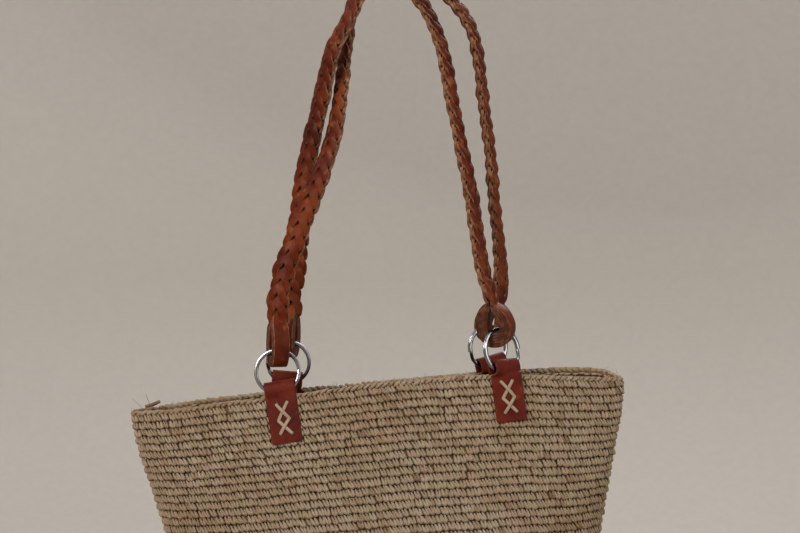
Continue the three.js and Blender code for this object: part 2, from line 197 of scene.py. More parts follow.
# working with meshes

def only(piece):
    bpy.ops.object.select_all(action="DESELECT")
    piece.select_set(True)
    bpy.context.view_layer.objects.active = piece


def placesOf(piece):
    places = np.empty(len(piece.data.vertices) * 3)
    piece.data.vertices.foreach_get("co", places)
    return places.reshape(-1, 3)


def setPlaces(piece, places):
    piece.data.vertices.foreach_set("co", np.asarray(places, float).ravel())
    piece.data.update()


def addGrid(name, columns, rows, placeOf, closed=True):
    # a grid whose two sides are shares from 0 to 1, moved to its places and welded
    bpy.ops.object.select_all(action="DESELECT")
    bpy.ops.mesh.primitive_grid_add(x_subdivisions=columns, y_subdivisions=rows, size=1)
    piece = bpy.context.active_object
    piece.name = name
    piece.data.name = name
    shares = placesOf(piece)[:, :2] + 0.5
    setPlaces(piece, placeOf(shares[:, 0], shares[:, 1]))
    if closed:
        weld(piece)
    return piece


def weld(piece, distance=2e-6):
    only(piece)
    bpy.ops.object.mode_set(mode="EDIT")
    bpy.ops.mesh.select_all(action="SELECT")
    bpy.ops.mesh.remove_doubles(threshold=distance)
    bpy.ops.mesh.normals_make_consistent(inside=False)
    bpy.ops.object.mode_set(mode="OBJECT")


def applyModifier(piece, kind, **settings):
    only(piece)
    modifier = piece.modifiers.new(kind.lower(), kind)
    for key, value in settings.items():
        setattr(modifier, key, value)
    bpy.ops.object.modifier_apply(modifier=modifier.name)


def joinAll(name, parts):
    bpy.ops.object.select_all(action="DESELECT")
    for part in parts:
        part.select_set(True)
    bpy.context.view_layer.objects.active = parts[0]
    if len(parts) > 1:
        bpy.ops.object.join()
    parts[0].name = name
    parts[0].data.name = name
    return parts[0]


def setTone(piece, tones):
    tone = piece.data.attributes.new("tone", "FLOAT", "POINT")
    tone.data.foreach_set("value", np.asarray(tones, np.float32))


def giveMaterials(piece, *materials):
    piece.data.materials.clear()
    for material in materials:
        piece.data.materials.append(material)


def smoothPiece(piece, angle=None):
    only(piece)
    if angle is None:
        bpy.ops.object.shade_smooth()
    else:
        bpy.ops.object.shade_smooth_by_angle(angle=math.radians(angle))


def settle(piece, slot, *nodes):
    # the piece moves with the bag and stands for the solids named
    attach(piece, "root")
    if nodes:
        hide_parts(*nodes)
    return piece


# materials

def newMaterial(name):
    material = bpy.data.materials.new(name)
    material.use_nodes = True
    return material, material.node_tree.nodes, material.node_tree.links


def addNoise(nodes, links, vector, scale, detail=4, stretch=None):
    noise = nodes.new("ShaderNodeTexNoise")
    noise.inputs["Scale"].default_value = scale
    noise.inputs["Detail"].default_value = detail
    if stretch:
        mapping = nodes.new("ShaderNodeMapping")
        mapping.inputs["Scale"].default_value = stretch
        links.new(vector, mapping.inputs["Vector"])
        vector = mapping.outputs["Vector"]
    links.new(vector, noise.inputs["Vector"])
    return noise.outputs["Fac"]


def addRamp(nodes, links, value, stops):
    ramp = nodes.new("ShaderNodeValToRGB")
    elements = ramp.color_ramp.elements
    while len(elements) < len(stops):
        elements.new(0.5)
    for element, (position, color) in zip(elements, stops):
        element.position = position
        element.color = (*color, 1)
    links.new(value, ramp.inputs["Fac"])
    return ramp.outputs["Color"]


def addMix(nodes, links, amount, first, second, blend="MIX"):
    mix = nodes.new("ShaderNodeMix")
    mix.data_type = "RGBA"
    mix.blend_type = blend
    for socket, value in (("Factor", amount), ("A", first), ("B", second)):
        target = [s for s in mix.inputs if s.name == socket and s.enabled][0]
        if isinstance(value, bpy.types.NodeSocket):
            links.new(value, target)
        elif isinstance(value, tuple):
            target.default_value = (*value, 1)
        else:
            target.default_value = value
    return [s for s in mix.outputs if s.enabled][0]


def addBump(nodes, links, height, strength, distance, onto=None):
    bump = nodes.new("ShaderNodeBump")
    bump.inputs["Strength"].default_value = strength
    bump.inputs["Distance"].default_value = distance
    links.new(height, bump.inputs["Height"])
    if onto:
        links.new(onto, bump.inputs["Normal"])
    return bump.outputs["Normal"]


raffiaLook = {
    "stops": [
        (0.0, (0.13, 0.074, 0.036)), (0.2, (0.185, 0.125, 0.076)), (0.45, (0.23, 0.168, 0.114)),
        (0.7, (0.255, 0.192, 0.138)), (0.88, (0.28, 0.218, 0.162)), (1.0, (0.26, 0.21, 0.13)),
    ],
    "patch": (0.8, 0.7, 0.58), "patchScale": 14,
    "hues": [(0.3, (1.0, 0.9, 0.82)), (0.5, (1.0, 1.0, 1.0)), (0.7, (0.93, 1.0, 0.84))], "hueScale": 95,
    "fibre": 0.5, "fibreDark": (0.62, 0.52, 0.4), "fibreScale": 6, "fibreStretch": (7, 0.7, 1),
    "bump": 0.7, "depth": 0.0005, "roughness": 0.7, "gloss": 0.22,
}


def makeRaffia():
    material, nodes, links = newMaterial("raffia")
    shader = nodes["Principled BSDF"]
    place = nodes.new("ShaderNodeTexCoord")
    tone = nodes.new("ShaderNodeAttribute")
    tone.attribute_name = "tone"
    color = addRamp(nodes, links, tone.outputs["Fac"], raffiaLook["stops"])
    patch = addNoise(nodes, links, place.outputs["Object"], raffiaLook["patchScale"], 3)
    patchColor = addRamp(nodes, links, patch, [(0.3, raffiaLook["patch"]), (0.62, (1.0, 1.0, 1.0))])
    color = addMix(nodes, links, 0.75, color, patchColor, "MULTIPLY")
    hue = addNoise(nodes, links, place.outputs["Object"], raffiaLook["hueScale"], 2)
    hueColor = addRamp(nodes, links, hue, raffiaLook["hues"])
    color = addMix(nodes, links, 0.8, color, hueColor, "MULTIPLY")
    fibre = addNoise(
        nodes, links, place.outputs["UV"], raffiaLook["fibreScale"], 3, raffiaLook["fibreStretch"],
    )
    fibreColor = addRamp(nodes, links, fibre, [(0.32, raffiaLook["fibreDark"]), (0.55, (1.0, 1.0, 1.0))])
    color = addMix(nodes, links, raffiaLook["fibre"], color, fibreColor, "MULTIPLY")
    links.new(color, shader.inputs["Base Color"])
    bump = addBump(nodes, links, fibre, raffiaLook["bump"], raffiaLook["depth"])
    links.new(bump, shader.inputs["Normal"])
    shader.inputs["Roughness"].default_value = raffiaLook["roughness"]
    shader.inputs["Specular IOR Level"].default_value = raffiaLook["gloss"]
    return material


# painted shade colours for the backing seen between the stitches, with a random grain
shadeLook = {"dark": (0.06, 0.027, 0.008), "light": (0.14, 0.074, 0.028), "grain": 420, "roughness": 0.9}


def makeRaffiaPaintedShade():
    # painted shade: a dark brown backing seen through the holes between the stitches, standing for the
    # shadow deep in the crochet
    material, nodes, links = newMaterial("raffiaPaintedShade")
    shader = nodes["Principled BSDF"]
    place = nodes.new("ShaderNodeTexCoord")
    grain = addNoise(nodes, links, place.outputs["Object"], shadeLook["grain"], 3)
    color = addRamp(nodes, links, grain, [(0.3, shadeLook["dark"]), (0.75, shadeLook["light"])])
    links.new(color, shader.inputs["Base Color"])
    links.new(addBump(nodes, links, grain, 0.5, 0.0006), shader.inputs["Normal"])
    shader.inputs["Roughness"].default_value = shadeLook["roughness"]
    return material


leatherLook = {
    "clouds": 38, "spots": 210, "rubs": 90, "pores": 1500, "gloss": 0.08,
    "edgeGrain": 260, "edgeRoughness": 0.75,
}


def makeLeather(name, dark, middle, light, scuff, roughness):
    material, nodes, links = newMaterial(name)
    shader = nodes["Principled BSDF"]
    place = nodes.new("ShaderNodeTexCoord").outputs["Object"]
    clouds = addNoise(nodes, links, place, leatherLook["clouds"], 5)
    color = addRamp(nodes, links, clouds, [(0.28, dark), (0.5, middle), (0.74, light)])
    spots = addNoise(nodes, links, place, leatherLook["spots"], 6)
    spotColor = addRamp(nodes, links, spots, [(0.35, (0.66, 0.6, 0.58)), (0.6, (1.0, 1.0, 1.0))])
    color = addMix(nodes, links, 0.55, color, spotColor, "MULTIPLY")
    rubs = addNoise(nodes, links, place, leatherLook["rubs"], 6)
    rubMask = addRamp(nodes, links, rubs, [(0.58, (0.0, 0.0, 0.0)), (0.72, (1.0, 1.0, 1.0))])
    color = addMix(nodes, links, rubMask, color, scuff)
    links.new(color, shader.inputs["Base Color"])
    pores = nodes.new("ShaderNodeTexVoronoi")
    pores.inputs["Scale"].default_value = leatherLook["pores"]
    links.new(place, pores.inputs["Vector"])
    first = addBump(nodes, links, pores.outputs["Distance"], 0.22, 0.00025)
    links.new(addBump(nodes, links, spots, 0.3, 0.0006, first), shader.inputs["Normal"])
    gloss = addRamp(
        nodes, links, clouds,
        [(0.3, (roughness - 0.08,) * 3), (0.7, (roughness + 0.1,) * 3)],
    )
    links.new(gloss, shader.inputs["Roughness"])
    shader.inputs["Specular IOR Level"].default_value = leatherLook["gloss"]
    return material


def makeEdge(name, dark, middle, light):
    # a cut edge of the leather, fibrous
    material, nodes, links = newMaterial(name)
    shader = nodes["Principled BSDF"]
    place = nodes.new("ShaderNodeTexCoord").outputs["Object"]
    grain = addNoise(nodes, links, place, leatherLook["edgeGrain"], 6)
    color = addRamp(nodes, links, grain, [(0.28, dark), (0.5, middle), (0.75, light)])
    links.new(color, shader.inputs["Base Color"])
    links.new(addBump(nodes, links, grain, 0.5, 0.0005), shader.inputs["Normal"])
    shader.inputs["Roughness"].default_value = leatherLook["edgeRoughness"]
    shader.inputs["Specular IOR Level"].default_value = leatherLook["gloss"]
    return material


metalLook = {
    "dark": (0.2, 0.2, 0.21), "light": (0.3, 0.3, 0.31), "haze": 120, "scratches": 900,
    "dull": 0.27, "bright": 0.16,
}


def makeRingMetal():
    material, nodes, links = newMaterial("ringMetal")
    shader = nodes["Principled BSDF"]
    place = nodes.new("ShaderNodeTexCoord").outputs["Object"]
    haze = addNoise(nodes, links, place, metalLook["haze"], 5)
    color = addRamp(nodes, links, haze, [(0.3, metalLook["dark"]), (0.7, metalLook["light"])])
    links.new(color, shader.inputs["Base Color"])
    gloss = addRamp(
        nodes, links, haze, [(0.3, (metalLook["dull"],) * 3), (0.65, (metalLook["bright"],) * 3)],
    )
    links.new(gloss, shader.inputs["Roughness"])
    scratches = addNoise(nodes, links, place, metalLook["scratches"], 4)
    links.new(addBump(nodes, links, scratches, 0.05, 0.0001), shader.inputs["Normal"])
    shader.inputs["Metallic"].default_value = 1.0
    return material


# painted shade: near-black colours for the shadow inside the tabs' lacing holes
pitShadeLook = {"dark": (0.012, 0.004, 0.002), "light": (0.04, 0.014, 0.007), "grain": 700}


def makePit():
    material, nodes, links = newMaterial("stitchHoleShade")
    shader = nodes["Principled BSDF"]
    place = nodes.new("ShaderNodeTexCoord").outputs["Object"]
    grain = addNoise(nodes, links, place, pitShadeLook["grain"], 3)
    color = addRamp(nodes, links, grain, [(0.3, pitShadeLook["dark"]), (0.7, pitShadeLook["light"])])
    links.new(color, shader.inputs["Base Color"])
    shader.inputs["Roughness"].default_value = 0.9
    return material


raffia = makeRaffia()
raffiaPaintedShade = makeRaffiaPaintedShade()
tabLeather = makeLeather(
    "tabLeather", (0.045, 0.004, 0.0016), (0.07, 0.0068, 0.0028), (0.1, 0.0135, 0.0055),
    scuff=(0.11, 0.022, 0.01), roughness=0.55,
)
braidLeather = makeLeather(
    "braidLeather", (0.035, 0.0035, 0.0008), (0.075, 0.01, 0.002), (0.14, 0.03, 0.006),
    scuff=(0.15, 0.04, 0.012), roughness=0.5,
)
rawEdge = makeEdge("rawEdge", (0.06, 0.02, 0.01), (0.13, 0.055, 0.028), (0.22, 0.12, 0.066))
dyedEdge = makeEdge("dyedEdge", (0.03, 0.008, 0.004), (0.055, 0.016, 0.008), (0.1, 0.036, 0.018))
ringMetal = makeRingMetal()
stitchHoleShade = makePit()
print("materials made")


# the basket's wall as a lattice, for everything that lies on it

crochet = {
    "pitch": 5.1, "rowHeight": 6.6, "columns": 150, "wallRows": 44,
    "latticeTurns": 720, "latticeSteps": 180, "ringPoints": 1441, "proud": -1.15, "shellInset": 2.0,
    # how the rows wave: height, waves for each stitch round the bag, start
    "sway": [(0.5, 0.13, 1.7), (0.35, 0.37, 0.0)],
}


def makeLattice(inside):
    # profile from the base's middle line out to its edge and up the wall to the rim
    sizes = basketSizes
    radius = sizes["edgeRadius"]
    wall = sizes["wall"]
    steps = crochet["latticeSteps"]
    bend = np.linspace(0, math.pi / 2, 13)[1:-1]
    flat = np.linspace(sizes["baseDepth"] / 2 - 5, radius, 24)
    edge = radius / sizes["height"]
    lowest = np.zeros_like(flat)
    heights = np.concatenate([lowest, edge * (1 - np.cos(bend)), np.linspace(edge, 1, 100)])
    insets = np.concatenate([flat, radius * (1 - np.sin(bend)), np.zeros(100)])
    if inside:
        heights = np.maximum(heights, wall / sizes["height"])
        insets = insets + wall
    front = wallPoint(heights, 0.0, insets)
    run = np.concatenate([[0], np.cumsum(np.linalg.norm(np.diff(front, axis=0), axis=1))])
    at = np.linspace(0, run[-1], steps)
    heights = np.interp(at, run, heights)
    insets = np.interp(at, run, insets)
    turns = np.linspace(0, 2 * math.pi, crochet["ringPoints"])
    shares = np.linspace(0, 1, crochet["latticeTurns"] + 1)
    rows = []
    for height, inset in zip(heights, insets):
        ring = wallPoint(height, turns, inset)
        length = np.concatenate([[0], np.cumsum(np.linalg.norm(np.diff(ring, axis=0), axis=1))])
        rows.append(np.stack([np.interp(shares * length[-1], length, ring[:, k]) for k in range(3)], -1))
    places = np.array(rows)
    around = np.roll(places[:, :-1], -1, axis=1) - np.roll(places[:, :-1], 1, axis=1)
    around = np.concatenate([around, around[:, :1]], axis=1)
    up = np.gradient(places, axis=0)
    normals = np.cross(around, up)
    normals /= np.linalg.norm(normals, axis=-1, keepdims=True) + 1e-12
    if inside:
        normals = -normals
    return {"places": places, "normals": normals, "run": run[-1]}


def onLattice(lattice, share, climb, out):
    # share is the way round the bag, climb the way up from the base's middle in millimetres
    places, normals = lattice["places"], lattice["normals"]
    rows, columns = places.shape[0] - 1, places.shape[1] - 1
    u = (share % 1.0) * columns
    v = np.clip(climb / lattice["run"], 0, 1) * rows
    i = np.minimum(v.astype(int), rows - 1)
    j = np.minimum(u.astype(int), columns - 1)
    a = (v - i)[:, None]
    b = (u - j)[:, None]

    def blend(grid):
        low = grid[i, j] * (1 - b) + grid[i, j + 1] * b
        high = grid[i + 1, j] * (1 - b) + grid[i + 1, j + 1] * b
        return low * (1 - a) + high * a

    normal = blend(normals)
    normal /= np.linalg.norm(normal, axis=-1, keepdims=True) + 1e-12
    beyond = climb - np.clip(climb, 0, lattice["run"])  # rows may end a little over the rim
    upward = hangBasket(np.array([0.0, 0, 1])) - hangBasket(np.array([0.0, 0, 0]))
    return blend(places) + normal * out[:, None] + beyond[:, None] * upward


outerWall = makeLattice(False)
innerWall = makeLattice(True)


# the shell under the stitches, coloured dark as painted shade seen through the holes between them

shellShape = {"around": 96, "levels": 22, "edgeSteps": 6, "lip": 0.3}


def makeShell():
    sizes = basketSizes
    inset = crochet["shellInset"]
    wall = sizes["wall"]
    radius = sizes["edgeRadius"]
    edge = radius / sizes["height"]
    lip = shellShape["lip"] / sizes["height"]
    ring = np.linspace(0, math.pi / 2, shellShape["edgeSteps"])
    levels = np.linspace(edge, 1 - lip, shellShape["levels"])
    floor = (wall - inset) / sizes["height"]
    base = inset / sizes["height"]
    outer = [(base, sizes["baseDepth"] / 2)]
    outer += [(base + edge * (1 - math.cos(a)), inset + radius * (1 - math.sin(a))) for a in ring]
    outer += [(level, inset) for level in levels[1:]]
    inner = [(level, wall - inset) for level in levels[::-1]]
    inner += [(floor, wall - inset + radius), (floor, sizes["baseDepth"] / 2)]
    profile = np.array(outer + inner)
    rows = len(profile) - 1

    def place(u, v):
        index = np.rint(v * rows).astype(int)
        return wallPoint(profile[index, 0], u * 2 * math.pi, profile[index, 1]) * mm

    shell = addGrid("basket_core", shellShape["around"], rows, place)
    # painted shade: the shell's dark colour stands for the shadow between the stitches
    giveMaterials(shell, raffiaPaintedShade)
    smoothPiece(shell, 40)
    return settle(shell, "raffia", "basket")


makeShell()
print("shell made")


# one crochet stitch: two plump legs that meet at the bottom

stitch = {
    "around": 4,
    # across, up, out, half width, half thickness of a leg, in millimetres
    "leg": [
        (0.05, -1.5, -0.4, 0.3, 0.4), (0.5, -0.5, 0.95, 1.15, 1.0), (1.05, 0.9, 1.5, 2.1, 1.35),
        (1.3, 2.7, 1.3, 1.5, 1.3), (1.4, 4.8, 0.6, 1.0, 1.1), (1.45, 7.1, -0.8, 0.5, 0.5),
    ],
    "slant": 0.42, "slantFrom": 0.8,
    "wrong": [
        (-2.9, 3.4, -1.0, 0.3, 0.3), (-1.7, 2.9, 0.5, 1.1, 0.8), (0.0, 2.6, 0.9, 1.35, 0.9),
        (1.7, 2.9, 0.5, 1.1, 0.8), (2.9, 3.4, -1.0, 0.3, 0.3),
    ],
    "shift": 0.34, "lean": 0.1, "swell": 0.09, "out": 0.32, "tone": 0.58, "spread": 0.15,
}


def makeStrand(name, route, around, side=1):
    # a closed strand along a short route: across, up, out, half width, half thickness
    route = np.array(route, float)
    along = len(route) - 1

    def place(u, v):
        index = np.rint(v * along).astype(int)
        line = route[:, :3]
        forward = np.gradient(line, axis=0)
        forward /= np.linalg.norm(forward, axis=1, keepdims=True)
        out = np.array([0.0, 0, 1]) - forward * forward[:, 2:3]
        out /= np.linalg.norm(out, axis=1, keepdims=True)
        across = np.cross(forward, out)
        angle = u * 2 * math.pi
        ends = (index > 0) & (index < along)
        wide = np.where(ends, np.cos(angle), 0) * route[index, 3]
        thick = np.where(ends, np.sin(angle), 0) * route[index, 4]
        point = line[index] + across[index] * wide[:, None] + out[index] * thick[:, None]
        point[:, 0] *= side
        return point

    strand = addGrid(name, around, along, place, closed=False)
    weld(strand, 1e-4)
    return strand


sheetStep = 10  # how far apart the copies of a template stand before each goes to its place


def makeSheet(name, template, columns, rows):
    sheet = template.copy()
    sheet.data = template.data.copy()
    bpy.context.collection.objects.link(sheet)
    sheet.name = name
    sheet.data.name = name
    for count, step in ((columns, (sheetStep, 0, 0)), (rows, (0, sheetStep, 0))):
        if count > 1:
            applyModifier(
                sheet, "ARRAY", count=count, use_relative_offset=False, use_constant_offset=True,
                constant_offset_displace=step,
            )
    return sheet


def loosen(sheet, template, columns, rows, settings, legs=1):
    # splits the sheet into its stitches and gives each one its own shift, lean, swell and tone
    size = len(template.data.vertices)
    copies = columns * rows
    places = placesOf(sheet).reshape(copies, size, 3)
    column = np.tile(np.arange(columns), rows)
    row = np.repeat(np.arange(rows), columns)
    places[..., 0] -= sheetStep * column[:, None]
    places[..., 1] -= sheetStep * row[:, None]
    lean = dice.normal(0, settings["lean"], (copies, 1))
    swell = 1 + dice.normal(0, settings["swell"], (copies, 1))
    high = np.maximum(places[..., 1] - settings.get("slantFrom", 0), 0)
    x = places[..., 0] * swell + places[..., 1] * lean + dice.normal(0, settings["shift"], (copies, 1))
    x = x - settings.get("slant", 0) * high
    y = places[..., 1] + dice.normal(0, settings["shift"], (copies, 1))
    z = places[..., 2] * swell + dice.normal(0, settings["out"], (copies, 1))
    base = dice.normal(settings["tone"], settings["spread"], (copies, 1))
    half = size // legs
    legTone = np.concatenate([base + dice.normal(0, 0.08, (copies, 1)) for leg in range(legs)], axis=1)
    tones = np.clip(np.repeat(legTone, half, axis=1), 0.02, 0.98)
    return column[:, None], row[:, None], x, y, z, tones


def crochetWall(name, template, lattice, firstColumn, columns, firstRow, rows, side, legs):
    sheet = makeSheet(name, template, columns, rows)
    column, row, x, y, z, tones = loosen(sheet, template, columns, rows, stitch, legs)
    base = lattice["run"] - crochet["wallRows"] * crochet["rowHeight"]
    share = (column + firstColumn + 0.5 + side * x / crochet["pitch"]) / crochet["columns"]
    sway = sum(height * np.sin((column + firstColumn) * rate + at) for height, rate, at in crochet["sway"])
    climb = base + (row + firstRow) * crochet["rowHeight"] + y + sway
    places = onLattice(lattice, share.ravel(), climb.ravel(), z.ravel() + crochet["proud"])
    setPlaces(sheet, places * mm)
    setTone(sheet, tones.ravel())
    giveMaterials(sheet, raffia)
    smoothPiece(sheet)
    return settle(sheet, "raffia")


def crochetRounds(name, template, lattice, side, legs):
    # rounds of the base, each with as many stitches as its length takes
    parts = []
    height = crochet["rowHeight"]
    last = lattice["run"] - crochet["wallRows"] * height
    rounds = int(last // height) + 1
    for index in range(rounds):
        climb = last - (index + 1) * height
        level = np.clip((climb + height / 2) / lattice["run"], 0, 1) * (lattice["places"].shape[0] - 1)
        ring = lattice["places"][int(level)]
        length = np.linalg.norm(np.diff(ring, axis=0), axis=1).sum()
        columns = max(12, int(length / crochet["pitch"]))
        sheet = makeSheet(name, template, columns, 1)
        column, row, x, y, z, tones = loosen(sheet, template, columns, 1, stitch, legs)
        share = (column + 0.5 + side * x / crochet["pitch"]) / columns
        places = onLattice(lattice, share.ravel(), np.maximum(climb + y, 0).ravel(), z.ravel())
        setPlaces(sheet, places * mm)
        setTone(sheet, tones.ravel())
        parts.append(sheet)
    base = joinAll(name, parts)
    giveMaterials(base, raffia)
    smoothPiece(base)
    return settle(base, "raffia")


def makeCrochet():
    leftLeg = makeStrand("leftLeg", stitch["leg"], stitch["around"], -1)
    rightLeg = makeStrand("rightLeg", stitch["leg"], stitch["around"], 1)
    template = joinAll("stitch", [rightLeg, leftLeg])
    weld(template, 1e-5)
    wrongSide = makeStrand("wrongSide", stitch["wrong"], stitch["around"])
    half = crochet["columns"] // 2
    rows = crochet["wallRows"] // 2
    quarter = crochet["columns"] // 4
    for name, first in (("front", -quarter), ("back", -quarter + half)):
        crochetWall(f"crochet_{name}_lower", template, outerWall, first, half, 0, rows, 1, 2)
        crochetWall(f"crochet_{name}_upper", template, outerWall, first, half, rows, rows, 1, 2)
        crochetWall(
            f"crochet_inside_{name}", wrongSide, innerWall, first, half, 0, 2 * rows, 1, 1,
        )
    crochetRounds("crochet_base", template, outerWall, 1, 2)
    crochetRounds("crochet_floor", wrongSide, innerWall, 1, 1)
    bpy.data.objects.remove(template)
    bpy.data.objects.remove(wrongSide)


makeCrochet()
print("crochet made")


# the chain of slanted links that finishes the rim

rimChain = {
    "links": 165, "sink": 0.3,
    # along the rim, across the wall, up, half width, half thickness
    "strand": [
        (-3.2, 0.2, -2.4, 0.4, 0.4), (-1.9, 1.6, -1.0, 1.3, 1.2), (0.0, 2.6, 0.3, 1.6, 1.45),
        (1.7, 1.9, 1.3, 1.4, 1.3), (2.9, 0.6, 1.5, 0.9, 0.9), (3.7, -0.6, 0.6, 0.4, 0.4),
    ],
    "shift": 0.2, "lean": 0.05, "swell": 0.08, "out": 0.2, "tone": 0.55, "spread": 0.14,
}


def makeRimChain():
    outerStrand = makeStrand("outerStrand", rimChain["strand"], 6)
    mirrored = [(a, -b, c, d, e) for a, b, c, d, e in rimChain["strand"]]
    innerStrand = makeStrand("innerStrand", mirrored, 6)
    template = joinAll("chainLink", [outerStrand, innerStrand])
    weld(template, 1e-5)
    count = rimChain["links"]
    sheet = makeSheet("rim_chain", template, count, 1)
    column, row, x, y, z, tones = loosen(sheet, template, count, 1, rimChain, 2)
    bpy.data.objects.remove(template)
    outer = outerWall["places"][-1]
    inner = innerWall["places"][-1]
    length = np.linalg.norm(np.diff(outer, axis=0), axis=1).sum()
    share = ((column + 0.5 + x * count / length) / count).ravel() % 1.0
    at = share * (len(outer) - 1)
    index = np.arange(len(outer))
    rim = np.stack([np.interp(at, index, outer[:, k]) for k in range(3)], -1)
    lip = np.stack([np.interp(at, index, inner[:, k]) for k in range(3)], -1)
    out = rim - lip
    out[:, 2] = 0
    depth = np.linalg.norm(out, axis=1, keepdims=True)
    out /= depth
    middle = rim - out * basketSizes["wall"] / 2
    upward = hangBasket(np.array([0.0, 0, 1])) - hangBasket(np.array([0.0, 0, 0]))
    places = middle + out * y.reshape(-1, 1) + (z.reshape(-1, 1) - rimChain["sink"]) * upward
    setPlaces(sheet, places * mm)
    setTone(sheet, tones.ravel())
    giveMaterials(sheet, raffia)
    smoothPiece(sheet)
    return settle(sheet, "raffia")


makeRimChain()
print("rim made")


# where the tabs, rings and loops stand

def turnAcross(across, height, face):
    halfWidth = float(readTable(basketSizes["sections"], height, 1)) * basketSizes["rimWidth"] / 2
    turn = math.asin(across / (halfWidth - basketSizes["wall"]))
    return turn if face > 0 else math.pi - turn


def placeCorner(corner):
    face = corner["face"]
    across = tabSizes["shift"] + corner["side"] * corner["reach"] * tabSizes["spacing"] / 2
    low = 1 - tabSizes["length"] * (1 - corner["rise"]) / basketSizes["height"]

    def at(height, shift):
        turn = turnAcross(across + shift, height, face)
        return Vector(wallPoint(height, turn, basketSizes["wall"] / 2, inBody=True))

    origin = at(1, 0)
    half = (low + 1) / 2
    along = (at(half, tabSizes["width"] / 2) - at(half, -tabSizes["width"] / 2)) * face
    along.z = 0
    along.normalize()
    up = origin - at(low, 0)
    up.x = 0
    up.normalize()
    inwards = up.cross(along).normalized()
    along = inwards.cross(up).normalized()
    lean = Quaternion(inwards, -math.radians(corner["lean"]) * face)
    up = lean @ up
    along = lean @ along
    frameMatrix = Matrix((along, inwards, up)).transposed().to_4x4()
    frameMatrix.translation = origin
    wallTurn = math.atan2(along.y * face, along.x * face)
    twist = math.radians(corner["turn"]) - wallTurn
    tabMatrix = basketMatrix @ frameMatrix
    rise = corner["rise"] * tabSizes["length"]
    inside = ringSizes["diameter"] / 2 - ringSizes["wireWidth"]
    bearing = math.sqrt(inside ** 2 - (tabSizes["width"] / 2) ** 2)
    ringHeight = rise - tabSizes["leather"] - ringSizes["clearance"] + bearing
    ringMatrix = tabMatrix @ Matrix.Rotation(twist, 4, "Z") @ Matrix.Translation((0, 0, ringHeight))
    skew = math.radians(corner["skew"])
    flat = ringMatrix.to_3x3() @ Vector((0, 1, 0))
    highest = (Vector((0, 0, 1)) - flat * flat.z).normalized()
    wire = ringSizes["wireThickness"] + ringSizes["gap"] / 2
    reach = (loopSizes["width"] / 2 + wire * math.sin(skew)) / math.cos(skew)
    seatHeight = math.sqrt(inside ** 2 - reach ** 2) - ringSizes["clearance"]
    slide = Quaternion(flat, math.radians(corner["slide"]) * face)
    seat = ringMatrix.translation + slide @ highest * seatHeight
    loopTurn = math.radians(corner["turn"]) + skew
    stand = slide.to_matrix().to_4x4() @ Matrix.Rotation(loopTurn, 4, "Z")
    loopUp = stand.to_3x3() @ Vector((0, 0, 1))
    return {
        "tab": tabMatrix, "twist": twist, "rise": rise, "ring": ringMatrix,
        "loop": Matrix.Translation(seat) @ stand, "loopTurn": loopTurn, "loopUp": loopUp,
        "top": seat + loopUp * (corner["loop"] * tabSizes["length"] - loopSizes["band"]),
    }


places = {name: placeCorner(corner) for name, corner in corners.items()}


def moved(matrix, points):
    points = np.asarray(points, float)
    return points @ np.array(matrix.to_3x3()).T + np.array(matrix.translation)


# leather tabs, laced to the basket with raffia crosses

tab = {
    "columns": 10, "rows": 56, "bevel": 0.35,
    "holeAcross": 4.8, "holeRows": [18.6, 31.8, 43.2],
    "ribbonWidth": 1.3, "ribbonThickness": 0.5, "ribbonSteps": 12, "ribbonAround": 8,
    "ribbonBury": 1.2, "ribbonLift": 0.15, "ribbonRise": 0.55, "ribbonOver": 0.8, "pit": 1.3,
}


def tabLine(rise, count):
    # the middle of the leather seen from its edge, from one leaf's end over the fold
    leaf = (basketSizes["wall"] + tabSizes["leather"]) / 2 + tabSizes["clearance"]
    bulb = leaf + tabSizes["bulge"]
    centre = rise - bulb - tabSizes["leather"] / 2
    shoulder = tabSizes["neck"] + (centre - tabSizes["neck"]) * tabSizes["shoulder"]
    low = rise - tabSizes["length"]
    front = [(-leaf, z) for z in np.linspace(low, tabSizes["neck"], 6)] + [(-bulb, shoulder)]
    fold = [
        (-bulb * math.cos(a), centre + bulb * math.sin(a)) for a in np.linspace(0, math.pi, 11)
    ]
    back = [(-y, z) for y, z in reversed(front)]
    line = smoothLine(front + fold + back, 400)
    run = np.concatenate([[0], np.cumsum(np.linalg.norm(np.diff(line, axis=0), axis=1))])
    at = np.linspace(0, run[-1], count)
    return np.stack([np.interp(at, run, line[:, k]) for k in range(2)], -1)


def twistAbout(points, place):
    # above the rim the leather turns towards its ring
    neck = tabSizes["neck"]
    t = np.clip((points[:, 2] - neck) / (place["rise"] * tabSizes["twistShare"]), 0, 1)
    angle = place["twist"] * t * t * (3 - 2 * t)
    x = points[:, 0] * np.cos(angle) - points[:, 1] * np.sin(angle)
    y = points[:, 0] * np.sin(angle) + points[:, 1] * np.cos(angle)
    return np.stack([x, y, points[:, 2]], -1)


def leafPoint(place, across, up, out, leaf):
    # a point on the outer (leaf -1) or inner (leaf 1) face of a tab, out from the leather
    depth = basketSizes["wall"] / 2 + tabSizes["clearance"] + tabSizes["leather"] + out
    return moved(place["tab"], [[across, leaf * depth, up]])[0]


